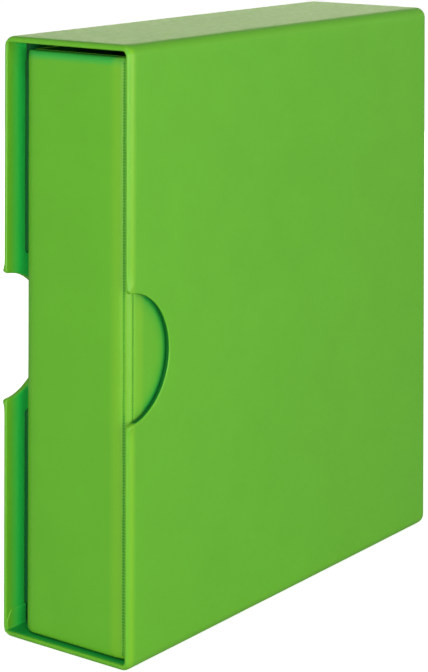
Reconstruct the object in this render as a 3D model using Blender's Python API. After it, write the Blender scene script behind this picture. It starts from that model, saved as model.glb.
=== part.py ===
"""Ring-binder stamp album standing in its slipcase.

The slipcase is five boards between a leatherette wrap and a lining, open at -Y.
The album is a padded leatherette binder with its spine at -Y, a two-lever ring
mechanism behind the spine, and stock pages on the rings.  Metres, +Z up.  The
origin is the centre of the slipcase's underside.
"""

import math

import bmesh
import bpy
from mathutils import Matrix, Vector

# Slipcase, outside
CASE_WIDTH = 0.0885
CASE_DEPTH = 0.300
CASE_HEIGHT = 0.325
CASE_WALL = 0.0032
CASE_EDGE_RADIUS = 0.006
MOUTH_ROUND_DEPTH = 0.006
MOUTH_ROUND_DROP = 0.0022
NOTCH_RADIUS = 0.034
NOTCH_HEIGHT = 0.1622
NOTCH_CORNER_RADIUS = 0.0025
NOTCH_TURN_IN = 0.012
MOUTH_TURN_IN = 0.015

# Layers of the slipcase and of the binder
SKIN = 0.0004
GAP = 0.0003
FOAM = 0.0015
COVER_BOARD = 0.0020
CASE_BOARD = CASE_WALL - 2 * (SKIN + GAP)
COVER = 2 * SKIN + 3 * GAP + FOAM + COVER_BOARD

# Album, outside
ALBUM_THICKNESS = 0.0732
ALBUM_HEIGHT = 0.3148
ALBUM_SIDE_GAP = 0.0004
ALBUM_BACK_GAP = 0.0005
SPINE_RECESS = 0.004
SPINE_CORNER_RADIUS = 0.0022
COVER_EDGE_RADIUS = 0.0008
CREASE_SETBACK = 0.0035
CREASE_HALF_WIDTH = 0.0006
CREASE_DEPTH = 0.0007
COVER_SETBACK = 0.0064
WELD_MARGIN = 0.0030

# Ring mechanism
HOUSING_HALF_WIDTH = 0.0165
HOUSING_SIDE = 0.0045
HOUSING_RISE = 0.0095
HOUSING_SHEET = 0.0010
HOUSING_LIP = 0.0040
HOUSING_HALF_LENGTH = 0.141
PIVOT_OFFSET = 0.0146
PIVOT_RISE = 0.0035
PLATE_REACH = 0.0141
PLATE_THICKNESS = 0.0012
PLATE_HALF_LENGTH = 0.133
PLATE_REST_TILT = math.radians(6.0)
RING_RADIUS = 0.0235
RING_WIRE_RADIUS = 0.0017
RING_CENTRE_RISE = 0.025
RING_ROOT_OFFSET = 0.012
RING_ROOT_RISE = 0.0020
RING_SPACING = 0.080
RING_COUNT = 4
LEVER_PIVOT = 0.137
LEVER_HALF_WIDTH = 0.006
LEVER_HUB_RADIUS = 0.0031
LEVER_TAB_HEIGHT = 0.0165
LEVER_TAB_LEAN = 0.0018
LEVER_TAB_THICKNESS = 0.0018
LEVER_TAB_START = math.radians(8.0)
LEVER_TAB_END = math.radians(62.0)
LEVER_FINGER_HALF = 0.0008
PIN_RADIUS = 0.0010
PIN_HALF_LENGTH = 0.0173
RIVET_POSITION = 0.118
RIVET_RADIUS = 0.0020
RIVET_HEAD_RADIUS = 0.0040
RIVET_HEAD = 0.0009
RIVET_DOME = ((1.0, 0.0), (0.75, 0.8), (0.3, 1.2))

# Stock pages
PAGE_COUNT = 10
PAGE_PITCH = 0.0018
PAGE_THICKNESS = 0.0008
PAGE_WIDTH = 0.240
PAGE_HEIGHT = 0.286
PAGE_START = 0.0378
SLOT_START = 0.0071
SLOT_LENGTH = 0.0085
SLOT_HALF_HEIGHT = 0.0024
FOIL_THICKNESS = 0.0003
FOIL_START = 0.019
FOIL_MARGIN = 0.004
FOIL_STRIPS = 6
FOIL_SLIT = 0.0016

# Facets on round stretches
EDGE_SEGMENTS = 5
NOTCH_SEGMENTS = 28
FILLET_SEGMENTS = 4
WIRE_SEGMENTS = 10
RING_SEGMENTS = 13
ARCH_SEGMENTS = 12
ROUND_SEGMENTS = 16
SMOOTH_ANGLE = math.radians(35.0)

# Places worked out from the sizes above
MOUTH_Y = -CASE_DEPTH / 2
SPINE_Y = MOUTH_Y + SPINE_RECESS
ALBUM_REAR_Y = CASE_DEPTH / 2 - CASE_WALL - ALBUM_BACK_GAP
ALBUM_RIGHT_X = CASE_WIDTH / 2 - CASE_WALL - ALBUM_SIDE_GAP
ALBUM_X = ALBUM_RIGHT_X - ALBUM_THICKNESS / 2
ALBUM_BOTTOM_Z = CASE_WALL + GAP
ALBUM_TOP_Z = ALBUM_BOTTOM_Z + ALBUM_HEIGHT
ALBUM_Z = ALBUM_BOTTOM_Z + ALBUM_HEIGHT / 2
HOUSING_Y = SPINE_Y + COVER + GAP
PIVOT_Y = HOUSING_Y + PIVOT_RISE
RING_Y = HOUSING_Y + RING_CENTRE_RISE
PAGE_Y = SPINE_Y + COVER + PAGE_START
FAR = 0.5

# Colours (linear RGB), roughness, metallic
GREEN_LEATHERETTE = ("green_leatherette", (0.137, 0.448, 0.038), 0.45, 0.0)
GREEN_LINING = ("green_lining", (0.110, 0.380, 0.035), 0.55, 0.0)
GREYBOARD = ("greyboard", (0.240, 0.225, 0.200), 0.90, 0.0)
WHITE_FOAM = ("white_foam", (0.750, 0.740, 0.700), 0.95, 0.0)
NICKEL_STEEL = ("nickel_plated_steel", (0.620, 0.610, 0.590), 0.22, 1.0)
BLACK_CARD = ("black_card", (0.012, 0.012, 0.013), 0.75, 0.0)
CLEAR_FOIL = ("clear_foil", (0.800, 0.830, 0.850), 0.10, 0.0)


# ---------------------------------------------------------------- tools

def clear_scene():
    for old in list(bpy.data.objects):
        bpy.data.objects.remove(old, do_unlink=True)


def get_material(finish):
    name, colour, roughness, metallic = finish
    material = bpy.data.materials.get(name)
    if material is None:
        material = bpy.data.materials.new(name)
        material.use_nodes = True
        shader = material.node_tree.nodes["Principled BSDF"]
        shader.inputs["Base Color"].default_value = (*colour, 1.0)
        shader.inputs["Roughness"].default_value = roughness
        shader.inputs["Metallic"].default_value = metallic
    return material


def add_piece(name, shape, finish, origin=(0.0, 0.0, 0.0), smooth=False):
    """Make a bmesh given in world coordinates into an object with its own origin."""
    bmesh.ops.recalc_face_normals(shape, faces=shape.faces)
    bmesh.ops.translate(shape, verts=shape.verts, vec=-Vector(origin))
    mesh = bpy.data.meshes.new(name)
    shape.to_mesh(mesh)
    shape.free()
    piece = bpy.data.objects.new(name, mesh)
    piece.location = origin
    bpy.context.scene.collection.objects.link(piece)
    mesh.materials.append(get_material(finish))
    if smooth:
        mesh.shade_smooth()
        mesh.set_sharp_from_angle(angle=SMOOTH_ANGLE)
    return piece


def add_cutter(name, shape):
    bmesh.ops.recalc_face_normals(shape, faces=shape.faces)
    mesh = bpy.data.meshes.new(name)
    shape.to_mesh(mesh)
    shape.free()
    cutter = bpy.data.objects.new(name, mesh)
    bpy.context.scene.collection.objects.link(cutter)
    cutter.hide_render = True
    cutter.display_type = "WIRE"
    return cutter


def combine(piece, other, operation="DIFFERENCE"):
    modifier = piece.modifiers.new(f"{operation.lower()}_{other.name}", "BOOLEAN")
    modifier.operation = operation
    modifier.solver = "EXACT"
    modifier.object = other


def box(low, high):
    shape = bmesh.new()
    size = [b - a for a, b in zip(low, high)]
    middle = [(a + b) / 2 for a, b in zip(low, high)]
    matrix = Matrix.Translation(middle) @ Matrix.Diagonal((*size, 1.0))
    bmesh.ops.create_cube(shape, size=1.0, matrix=matrix)
    return shape


def arc(centre, radius, start, end, segments):
    """Points on a circle, angles in radians, both ends included."""
    points = []
    for step in range(segments + 1):
        angle = start + (end - start) * step / segments
        points.append((centre[0] + radius * math.cos(angle),
                       centre[1] + radius * math.sin(angle)))
    return points


def circle(centre, radius, segments):
    return arc(centre, radius, 0.0, math.tau * (1 - 1 / segments), segments - 1)


def place(point, along, axis):
    """A 3-D point from a 2-D outline point and a distance along the axis."""
    a, b = point
    if axis == "X":
        return (along, a, b)
    if axis == "Y":
        return (a, along, b)
    return (a, b, along)


def loft(sections, axis):
    """A closed solid through outlines, given as (outline, distance along the axis)."""
    shape = bmesh.new()
    rings = []
    for outline, along in sections:
        rings.append([shape.verts.new(place(p, along, axis)) for p in outline])
    for lower, upper in zip(rings, rings[1:]):
        count = len(lower)
        for i in range(count):
            j = (i + 1) % count
            shape.faces.new((lower[i], lower[j], upper[j], upper[i]))
    shape.faces.new(list(reversed(rings[0])))
    shape.faces.new(rings[-1])
    bmesh.ops.remove_doubles(shape, verts=shape.verts, dist=1e-7)
    return shape


def prism(outline, axis, low, high):
    return loft([(outline, low), (outline, high)], axis)


def cylinder(axis, centre, radius, low, high, segments=ROUND_SEGMENTS):
    return prism(circle(centre, radius, segments), axis, low, high)


def swept_wire(path, z, radius, segments):
    """A round wire along a path in the XY plane at height z."""
    shape = bmesh.new()
    rings = []
    for i, (x, y) in enumerate(path):
        before = path[max(i - 1, 0)]
        after = path[min(i + 1, len(path) - 1)]
        along = Vector((after[0] - before[0], after[1] - before[1], 0.0)).normalized()
        side = Vector((-along.y, along.x, 0.0))
        ring = []
        for step in range(segments):
            angle = math.tau * step / segments
            offset = side * math.cos(angle) + Vector((0.0, 0.0, math.sin(angle)))
            ring.append(shape.verts.new(Vector((x, y, z)) + offset * radius))
        rings.append(ring)
    for lower, upper in zip(rings, rings[1:]):
        for i in range(segments):
            j = (i + 1) % segments
            shape.faces.new((lower[i], lower[j], upper[j], upper[i]))
    shape.faces.new(list(reversed(rings[0])))
    shape.faces.new(rings[-1])
    return shape


# ---------------------------------------------------------------- slipcase

def rounded_rectangle(half_x, half_z, radius, middle_z):
    points = []
    corners = ((1, 1, 0.0), (-1, 1, 0.25), (-1, -1, 0.5), (1, -1, 0.75))
    for side_x, side_z, turn in corners:
        centre = (side_x * (half_x - radius), middle_z + side_z * (half_z - radius))
        start = math.tau * turn
        points += arc(centre, radius, start, start + math.pi / 2, EDGE_SEGMENTS)
    return points


def case_form(inset):
    """The slipcase as a full block, drawn in by an inset, with all its edges round.

    The edges at the mouth are drawn in over a longer, flatter curve than the others.
    """
    radius = CASE_EDGE_RADIUS - inset
    depth = MOUTH_ROUND_DEPTH - inset
    drop = MOUTH_ROUND_DROP - inset
    steps = [math.pi / 2 * step / EDGE_SEGMENTS for step in range(EDGE_SEGMENTS + 1)]
    draws = [(drop * (1 - math.sin(t)), MOUTH_Y + inset + depth * (1 - math.cos(t)))
             for t in steps]
    rear = CASE_DEPTH / 2 - inset - radius
    draws += [(radius * (1 - math.cos(t)), rear + radius * math.sin(t)) for t in steps]
    sections = []
    for draw, y in draws:
        outline = rounded_rectangle(CASE_WIDTH / 2 - inset - draw,
                                    CASE_HEIGHT / 2 - inset - draw,
                                    radius - draw, CASE_HEIGHT / 2)
        sections.append((outline, y))
    return loft(sections, "Y")


def case_inside(growth, front, back):
    """The slipcase's inner space, grown by an amount on its four sides."""
    reach = CASE_WALL - growth
    return box((-CASE_WIDTH / 2 + reach, front, reach),
               (CASE_WIDTH / 2 - reach, back, CASE_HEIGHT - reach))


def notch_outline(growth):
    """Thumb notch in the YZ plane: a half circle that flares round into the mouth.

    Grown by more than the flare's radius, it has no flare and is a plain circle.
    """
    radius = NOTCH_RADIUS + growth
    fillet = NOTCH_CORNER_RADIUS - growth
    if fillet <= 0:
        return circle((MOUTH_Y, NOTCH_HEIGHT), radius, 2 * NOTCH_SEGMENTS)
    centre_y = NOTCH_CORNER_RADIUS
    centre_z = math.sqrt((NOTCH_RADIUS + NOTCH_CORNER_RADIUS) ** 2 - centre_y ** 2)
    lean = math.atan2(centre_z, centre_y)
    lower = arc((centre_y, -centre_z), fillet, math.pi, math.pi - lean, FILLET_SEGMENTS)
    main = arc((0.0, 0.0), radius, -lean, lean, NOTCH_SEGMENTS)
    upper = arc((centre_y, centre_z), fillet, math.pi + lean, math.pi, FILLET_SEGMENTS)
    outside = -0.01
    points = [(outside, lower[0][1])] + lower + main[1:-1] + upper
    points.append((outside, upper[-1][1]))
    return [(MOUTH_Y + y, NOTCH_HEIGHT + z) for y, z in points]


def notch_cutter(name, growth, low=-FAR, high=FAR):
    return add_cutter(name, prism(notch_outline(growth), "X", low, high))


def board_slot():
    """The space between the wrap's outer skin and its turn-ins."""
    slot = add_cutter("cut_board_slot", case_form(SKIN))
    turn_in_back = MOUTH_Y + MOUTH_TURN_IN
    turn_in = case_inside(SKIN, -FAR, turn_in_back)
    combine(slot, add_cutter("cut_mouth_turn_in", turn_in))
    combine(slot, notch_cutter("cut_notch_edge", SKIN))
    inner = CASE_WIDTH / 2 - CASE_WALL
    for name, side in (("left", -1), ("right", 1)):
        low, high = sorted((side * (inner - SKIN), side * (inner + SKIN)))
        flange = notch_cutter(f"cut_notch_turn_in_{name}", NOTCH_TURN_IN, low, high)
        combine(slot, flange)
    return slot


def slipcase_outer_wrap():
    piece = add_piece("slipcase_outer_wrap", case_form(0.0), GREEN_LEATHERETTE, smooth=True)
    inside = case_inside(0.0, -FAR, CASE_DEPTH / 2 - CASE_WALL)
    combine(piece, add_cutter("cut_case_inside", inside))
    combine(piece, board_slot())
    combine(piece, notch_cutter("cut_notch", 0.0))


def slipcase_inner_lining():
    front = MOUTH_Y + MOUTH_TURN_IN + GAP
    back = CASE_DEPTH / 2 - CASE_WALL
    piece = add_piece("slipcase_inner_lining",
                      case_inside(SKIN, front, back + SKIN), GREEN_LINING)
    combine(piece, add_cutter("cut_lining_inside", case_inside(0.0, -FAR, back)))
    combine(piece, notch_cutter("cut_lining_notch", NOTCH_TURN_IN + GAP))


def slipcase_board(name, low, high, notched=False):
    piece = add_piece(name, box(low, high), GREYBOARD)
    combine(piece, bpy.data.objects["cut_board_form"], "INTERSECT")
    if notched:
        combine(piece, bpy.data.objects["cut_board_notch"])


def slipcase_boards():
    clear = SKIN + GAP
    add_cutter("cut_board_form", case_form(clear))
    notch_cutter("cut_board_notch", clear)
    half_x = CASE_WIDTH / 2 - clear
    inner_x = half_x - CASE_BOARD
    between_x = inner_x - GAP
    front = MOUTH_Y - clear
    rear = CASE_DEPTH / 2 - clear
    top = CASE_HEIGHT - clear
    slipcase_board("slipcase_left_board", (-half_x, front, clear),
                   (-inner_x, rear, top), notched=True)
    slipcase_board("slipcase_right_board", (inner_x, front, clear),
                   (half_x, rear, top), notched=True)
    slipcase_board("slipcase_bottom_board", (-between_x, front, clear),
                   (between_x, rear, clear + CASE_BOARD))
    slipcase_board("slipcase_top_board", (-between_x, front, top - CASE_BOARD),
                   (between_x, rear, top))
    slipcase_board("slipcase_back_board",
                   (-between_x, rear - CASE_BOARD, clear + CASE_BOARD + GAP),
                   (between_x, rear, top - CASE_BOARD - GAP))


# ---------------------------------------------------------------- binder covers

def crease(side, inset):
    """The groove where a cover hinges, from the spine towards the cover."""
    face = ALBUM_THICKNESS / 2 - inset
    middle = SPINE_Y + CREASE_SETBACK
    half = CREASE_HALF_WIDTH + inset
    points = [(face, middle - half), (face - CREASE_DEPTH, middle - half / 4),
              (face - CREASE_DEPTH, middle + half / 4), (face, middle + half)]
    return [(ALBUM_X + side * x, y) for x, y in points]


def album_plan(inset):
    """Outline of the closed binder from above, with its spine corners and creases."""
    half = ALBUM_THICKNESS / 2 - inset
    corner = SPINE_CORNER_RADIUS - min(inset, SPINE_CORNER_RADIUS / 2)
    edge = COVER_EDGE_RADIUS - min(inset, COVER_EDGE_RADIUS / 2)
    front = SPINE_Y + inset
    rear = ALBUM_REAR_Y - inset
    right, left = ALBUM_X + half, ALBUM_X - half
    quarter = math.pi / 2
    points = arc((left + corner, front + corner), corner, -2 * quarter, -quarter,
                 EDGE_SEGMENTS)
    points += arc((right - corner, front + corner), corner, -quarter, 0.0, EDGE_SEGMENTS)
    points += crease(1, inset)
    points += arc((right - edge, rear - edge), edge, 0.0, quarter, 2)
    points += arc((left + edge, rear - edge), edge, quarter, 2 * quarter, 2)
    points += list(reversed(crease(-1, inset)))
    return points


def album_form(inset):
    radius = COVER_EDGE_RADIUS
    bottom, top = ALBUM_BOTTOM_Z + inset, ALBUM_TOP_Z - inset
    steps = [math.pi / 4 * step for step in range(3)]
    draws = [(radius * (1 - math.sin(t)), bottom + radius * (1 - math.cos(t)))
             for t in steps]
    draws += [(radius * (1 - math.cos(t)), top - radius * (1 - math.sin(t)))
              for t in steps]
    return loft([(album_plan(inset + draw), z) for draw, z in draws], "Z")


def album_inside(growth, rear, low, high):
    """The space between the covers, grown by an amount towards the covers and spine."""
    half = ALBUM_THICKNESS / 2 - COVER + growth
    front = SPINE_Y + COVER - growth
    return box((ALBUM_X - half, front, low), (ALBUM_X + half, rear, high))


def album_outer_wrap():
    piece = add_piece("album_outer_wrap", album_form(0.0), GREEN_LEATHERETTE, smooth=True)
    pocket = prism(album_plan(SKIN), "Z", ALBUM_BOTTOM_Z + SKIN, ALBUM_TOP_Z - SKIN)
    combine(piece, add_cutter("cut_cover_pocket", pocket))
    inside = album_inside(0.0, FAR, -FAR, FAR)
    combine(piece, add_cutter("cut_between_covers", inside))


def album_inner_lining():
    clear = SKIN + GAP
    sheet = album_inside(SKIN, ALBUM_REAR_Y - clear, ALBUM_BOTTOM_Z + clear,
                         ALBUM_TOP_Z - clear)
    piece = add_piece("album_inner_lining", sheet, GREEN_LINING)
    inside = album_inside(0.0, FAR, -FAR, FAR)
    combine(piece, add_cutter("cut_lining_between_covers", inside))
    combine(piece, bpy.data.objects["cut_rivet_holes_top"])
    combine(piece, bpy.data.objects["cut_rivet_holes_bottom"])


def cover_layer(name, side, outer, thickness, finish):
    """A board or foam sheet in a cover, at a depth below the cover's outer face."""
    face = ALBUM_THICKNESS / 2 - outer
    ends = sorted((ALBUM_X + side * face, ALBUM_X + side * (face - thickness)))
    low = (ends[0], SPINE_Y + COVER_SETBACK, ALBUM_BOTTOM_Z + WELD_MARGIN)
    high = (ends[1], ALBUM_REAR_Y - WELD_MARGIN, ALBUM_TOP_Z - WELD_MARGIN)
    add_piece(name, box(low, high), finish)


def spine_layer(name, outer, thickness, side_clear, finish, cutters):
    half = ALBUM_THICKNESS / 2 - side_clear
    sheet = box((ALBUM_X - half, SPINE_Y + outer, ALBUM_BOTTOM_Z + WELD_MARGIN),
                (ALBUM_X + half, SPINE_Y + outer + thickness, ALBUM_TOP_Z - WELD_MARGIN))
    piece = add_piece(name, sheet, finish)
    for cutter in cutters:
        combine(piece, bpy.data.objects[cutter])


def binder_covers():
    album_outer_wrap()
    album_inner_lining()
    foam_depth = SKIN + GAP
    board_depth = foam_depth + FOAM + GAP
    for cover, side in (("front_cover", 1), ("back_cover", -1)):
        cover_layer(f"{cover}_foam", side, foam_depth, FOAM, WHITE_FOAM)
        cover_layer(f"{cover}_board", side, board_depth, COVER_BOARD, GREYBOARD)
    spine_layer("spine_foam", foam_depth, FOAM, SPINE_CORNER_RADIUS + GAP, WHITE_FOAM,
                ("cut_rivet_recess_top", "cut_rivet_recess_bottom"))
    spine_layer("spine_board", board_depth, COVER_BOARD,
                CREASE_DEPTH + SKIN + 2 * GAP, GREYBOARD,
                ("cut_rivet_holes_top", "cut_rivet_holes_bottom"))


# ---------------------------------------------------------------- ring mechanism

def ring_heights():
    first = ALBUM_Z - RING_SPACING * (RING_COUNT - 1) / 2
    return [first + RING_SPACING * i for i in range(RING_COUNT)]


def rivet_cutters():
    for name, side in (("top", 1), ("bottom", -1)):
        centre = (ALBUM_X, ALBUM_Z + side * RIVET_POSITION)
        hole = cylinder("Y", centre, RIVET_RADIUS + GAP, MOUTH_Y, RING_Y)
        add_cutter(f"cut_rivet_holes_{name}", hole)
        recess = cylinder("Y", centre, RIVET_HEAD_RADIUS + GAP, MOUTH_Y, RING_Y)
        add_cutter(f"cut_rivet_recess_{name}", recess)


def mounting_rivets():
    """Rivets that hold the housing to the spine board, under the spine's foam."""
    board_face = SPINE_Y + SKIN + GAP + FOAM + GAP
    housing_top = HOUSING_Y + HOUSING_RISE
    for name, side in (("top", 1), ("bottom", -1)):
        centre = (ALBUM_X, ALBUM_Z + side * RIVET_POSITION)
        profile = [(RIVET_HEAD_RADIUS, board_face - GAP - RIVET_HEAD),
                   (RIVET_HEAD_RADIUS, board_face - GAP),
                   (RIVET_RADIUS, board_face - GAP),
                   (RIVET_RADIUS, housing_top + GAP)]
        profile += [(RIVET_HEAD_RADIUS * width, housing_top + GAP + RIVET_HEAD * rise)
                    for width, rise in RIVET_DOME]
        sections = [(circle(centre, radius, ROUND_SEGMENTS), y) for radius, y in profile]
        add_piece(f"{name}_mounting_rivet", loft(sections, "Y"), NICKEL_STEEL, smooth=True)


def housing_outline():
    """The arched steel cover's section: two sides turned in at the foot, and an arch."""
    half, side, rise = HOUSING_HALF_WIDTH, HOUSING_SIDE, HOUSING_RISE
    sheet = HOUSING_SHEET
    radius = (half ** 2 + (rise - side) ** 2) / (2 * (rise - side))
    centre = (0.0, rise - radius)
    outer_end = math.asin(half / radius)
    inner_end = math.asin((half - sheet) / (radius - sheet))
    quarter = math.pi / 2
    lip = half - HOUSING_LIP
    points = [(lip, 0.0), (half, 0.0)]
    points += arc(centre, radius, quarter - outer_end, quarter + outer_end, ARCH_SEGMENTS)
    points += [(-half, 0.0), (-lip, 0.0), (-lip, sheet), (-half + sheet, sheet)]
    points += arc(centre, radius - sheet, quarter + inner_end, quarter - inner_end,
                  ARCH_SEGMENTS)
    points += [(half - sheet, sheet), (lip, sheet)]
    return [(ALBUM_X + x, HOUSING_Y + y) for x, y in points]


def ring_housing():
    low, high = ALBUM_Z - HOUSING_HALF_LENGTH, ALBUM_Z + HOUSING_HALF_LENGTH
    piece = add_piece("ring_housing", prism(housing_outline(), "Z", low, high),
                      NICKEL_STEEL, smooth=True)
    window_low = HOUSING_Y + HOUSING_SIDE - 2 * GAP
    window_high = HOUSING_Y + HOUSING_RISE
    window_half = RING_WIRE_RADIUS + 3 * GAP
    for number, z in enumerate(ring_heights(), start=1):
        for name, side in (("left", -1), ("right", 1)):
            ends = sorted((ALBUM_X + side * (RING_ROOT_OFFSET - HOUSING_SHEET),
                           ALBUM_X + side * (HOUSING_HALF_WIDTH + HOUSING_SHEET)))
            window = box((ends[0], window_low, z - window_half),
                         (ends[1], window_high, z + window_half))
            combine(piece, add_cutter(f"cut_{name}_ring_window_{number}", window))
    for name, side in (("top", 1), ("bottom", -1)):
        combine(piece, bpy.data.objects[f"cut_rivet_holes_{name}"])
        ends = sorted((ALBUM_Z + side * (PLATE_HALF_LENGTH + 2 * GAP), ALBUM_Z + side * FAR))
        half = LEVER_HALF_WIDTH + HOUSING_SHEET
        gate = box((ALBUM_X - half, HOUSING_Y + HOUSING_SIDE, ends[0]),
                   (ALBUM_X + half, RING_Y, ends[1]))
        combine(piece, add_cutter(f"cut_{name}_lever_gate", gate))
        hole = cylinder("X", (PIVOT_Y, ALBUM_Z + side * LEVER_PIVOT), PIN_RADIUS + GAP,
                        -FAR, FAR)
        combine(piece, add_cutter(f"cut_{name}_pin_hole", hole))


def carrier_plate(name, side):
    """A steel strip hinged at its outer edge, which carries one half of each ring."""
    pivot = Vector((ALBUM_X + side * PIVOT_OFFSET, PIVOT_Y))
    inward = Vector((-side * math.cos(PLATE_REST_TILT), -math.sin(PLATE_REST_TILT)))
    across = Vector((-inward.y, inward.x))
    half = PLATE_THICKNESS / 2
    start = math.atan2(across.y, across.x)
    outline = arc(pivot, half, start, start + math.pi, EDGE_SEGMENTS)
    inner = pivot + inward * PLATE_REACH
    outline += [tuple(inner - across * half), tuple(inner + across * half)]
    shape = prism(outline, "Z", ALBUM_Z - PLATE_HALF_LENGTH, ALBUM_Z + PLATE_HALF_LENGTH)
    piece = add_piece(f"{name}_carrier_plate", shape, NICKEL_STEEL,
                      origin=(pivot.x, pivot.y, ALBUM_Z))
    root_x = ALBUM_X + side * RING_ROOT_OFFSET
    for number, z in enumerate(ring_heights(), start=1):
        hole = cylinder("Y", (root_x, z), RING_WIRE_RADIUS + GAP, MOUTH_Y, RING_Y)
        combine(piece, add_cutter(f"cut_{name}_root_hole_{number}", hole))
    relief = RIVET_RADIUS + 3 * GAP
    for end, direction in (("top", 1), ("bottom", -1)):
        z = ALBUM_Z + direction * RIVET_POSITION
        notch = box((ALBUM_X - relief, MOUTH_Y, z - relief),
                    (ALBUM_X + relief, RING_Y, z + relief))
        combine(piece, add_cutter(f"cut_{name}_rivet_relief_{end}", notch))


def ring_half(name, side, z):
    """Half a ring: a root staked in its carrier plate and an arc to the ring's tip."""
    start = math.asin(RING_ROOT_OFFSET / RING_RADIUS)
    end = math.pi - (GAP / 2) / RING_RADIUS
    root = (ALBUM_X + side * RING_ROOT_OFFSET, HOUSING_Y + RING_ROOT_RISE)
    path = [root]
    for step in range(RING_SEGMENTS + 1):
        angle = start + (end - start) * step / RING_SEGMENTS
        path.append((ALBUM_X + side * RING_RADIUS * math.sin(angle),
                     RING_Y - RING_RADIUS * math.cos(angle)))
    shape = swept_wire(path, z, RING_WIRE_RADIUS, WIRE_SEGMENTS)
    add_piece(name, shape, NICKEL_STEEL,
              origin=(ALBUM_X + side * PIVOT_OFFSET, PIVOT_Y, z), smooth=True)


def lever_outline():
    """An opening lever from the side: a hub, a short finger inwards and a tab outwards.

    The first coordinate runs away from the rings' middle, the second away from the spine.
    """
    hub = LEVER_HUB_RADIUS
    finger_reach = LEVER_PIVOT - PLATE_HALF_LENGTH - 2 * GAP
    join = math.asin(LEVER_FINGER_HALF / hub)
    tab_half = LEVER_TAB_THICKNESS / 2
    tab_foot = hub * math.cos(LEVER_TAB_START)
    tip = (tab_foot + LEVER_TAB_LEAN - tab_half, LEVER_TAB_HEIGHT)
    points = arc((0.0, 0.0), hub, math.pi + join, math.tau + LEVER_TAB_START,
                 2 * EDGE_SEGMENTS)
    points += arc(tip, tab_half, 0.0, math.pi, EDGE_SEGMENTS)
    points += arc((0.0, 0.0), hub, LEVER_TAB_END, math.pi - join, EDGE_SEGMENTS)
    points += [(-finger_reach, LEVER_FINGER_HALF), (-finger_reach, -LEVER_FINGER_HALF)]
    return points


def lever(name, side):
    pivot_z = ALBUM_Z + side * LEVER_PIVOT
    outline = [(PIVOT_Y + v, pivot_z + side * u) for u, v in lever_outline()]
    shape = prism(outline, "X", ALBUM_X - LEVER_HALF_WIDTH, ALBUM_X + LEVER_HALF_WIDTH)
    piece = add_piece(f"{name}_lever", shape, NICKEL_STEEL,
                      origin=(ALBUM_X, PIVOT_Y, pivot_z), smooth=True)
    combine(piece, bpy.data.objects[f"cut_{name}_pin_hole"])
    pin = cylinder("X", (PIVOT_Y, pivot_z), PIN_RADIUS,
                   ALBUM_X - PIN_HALF_LENGTH, ALBUM_X + PIN_HALF_LENGTH)
    add_piece(f"{name}_lever_pin", pin, NICKEL_STEEL, smooth=True)


def ring_mechanism():
    ring_housing()
    mounting_rivets()
    for name, side in (("left", -1), ("right", 1)):
        carrier_plate(name, side)
        for number, z in enumerate(ring_heights(), start=1):
            ring_half(f"{name}_ring_half_{number}", side, z)
    lever("top", 1)
    lever("bottom", -1)


# ---------------------------------------------------------------- pages

def stock_page(number, x):
    """A card page with one long slot for each ring."""
    half = PAGE_THICKNESS / 2
    low_z = ALBUM_Z - PAGE_HEIGHT / 2
    sheet = box((x - half, PAGE_Y, low_z), (x + half, PAGE_Y + PAGE_WIDTH, low_z + PAGE_HEIGHT))
    piece = add_piece(f"stock_page_{number:02d}", sheet, BLACK_CARD)
    for slot in range(1, RING_COUNT + 1):
        combine(piece, bpy.data.objects[f"cut_page_slot_{slot}"])


def pocket_foil(number, x):
    """A clear foil over a page's face, slit into strips that open at the top."""
    low = (x, PAGE_Y + FOIL_START, ALBUM_Z - PAGE_HEIGHT / 2 + FOIL_MARGIN)
    high = (x + FOIL_THICKNESS, PAGE_Y + PAGE_WIDTH - FOIL_MARGIN,
            ALBUM_Z + PAGE_HEIGHT / 2 - FOIL_MARGIN)
    piece = add_piece(f"pocket_foil_{number:02d}", box(low, high), CLEAR_FOIL)
    for slit in range(1, FOIL_STRIPS):
        combine(piece, bpy.data.objects[f"cut_foil_slit_{slit}"])


def page_cutters():
    for number, z in enumerate(ring_heights(), start=1):
        slot = box((-FAR, PAGE_Y + SLOT_START, z - SLOT_HALF_HEIGHT),
                   (FAR, PAGE_Y + SLOT_START + SLOT_LENGTH, z + SLOT_HALF_HEIGHT))
        add_cutter(f"cut_page_slot_{number}", slot)
    strip = (PAGE_HEIGHT - 2 * FOIL_MARGIN) / FOIL_STRIPS
    for number in range(1, FOIL_STRIPS):
        z = ALBUM_Z - PAGE_HEIGHT / 2 + FOIL_MARGIN + strip * number
        slit = box((-FAR, PAGE_Y + FOIL_START + FOIL_MARGIN, z - FOIL_SLIT / 2),
                   (FAR, PAGE_Y + PAGE_WIDTH - 2 * FOIL_MARGIN, z + FOIL_SLIT / 2))
        add_cutter(f"cut_foil_slit_{number}", slit)


def pages():
    page_cutters()
    first = ALBUM_X - PAGE_PITCH * (PAGE_COUNT - 1) / 2
    for i in range(PAGE_COUNT):
        x = first + PAGE_PITCH * i
        stock_page(i + 1, x)
        pocket_foil(i + 1, x + PAGE_THICKNESS / 2 + GAP)


def main():
    clear_scene()
    slipcase_boards()
    slipcase_outer_wrap()
    slipcase_inner_lining()
    rivet_cutters()
    binder_covers()
    ring_mechanism()
    pages()


main()
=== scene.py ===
"""Looks of the stamp album in its slipcase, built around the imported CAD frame.

Lengths are in metres.  Places come from the CAD nodes' boxes, apart from the notch, which
no box gives.  A piece keeps its place in its vertices, so a material's object coordinates
are the frame's coordinates.
"""

import math

import bmesh
import bpy
from mathutils import Euler, Matrix, Vector, noise


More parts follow.
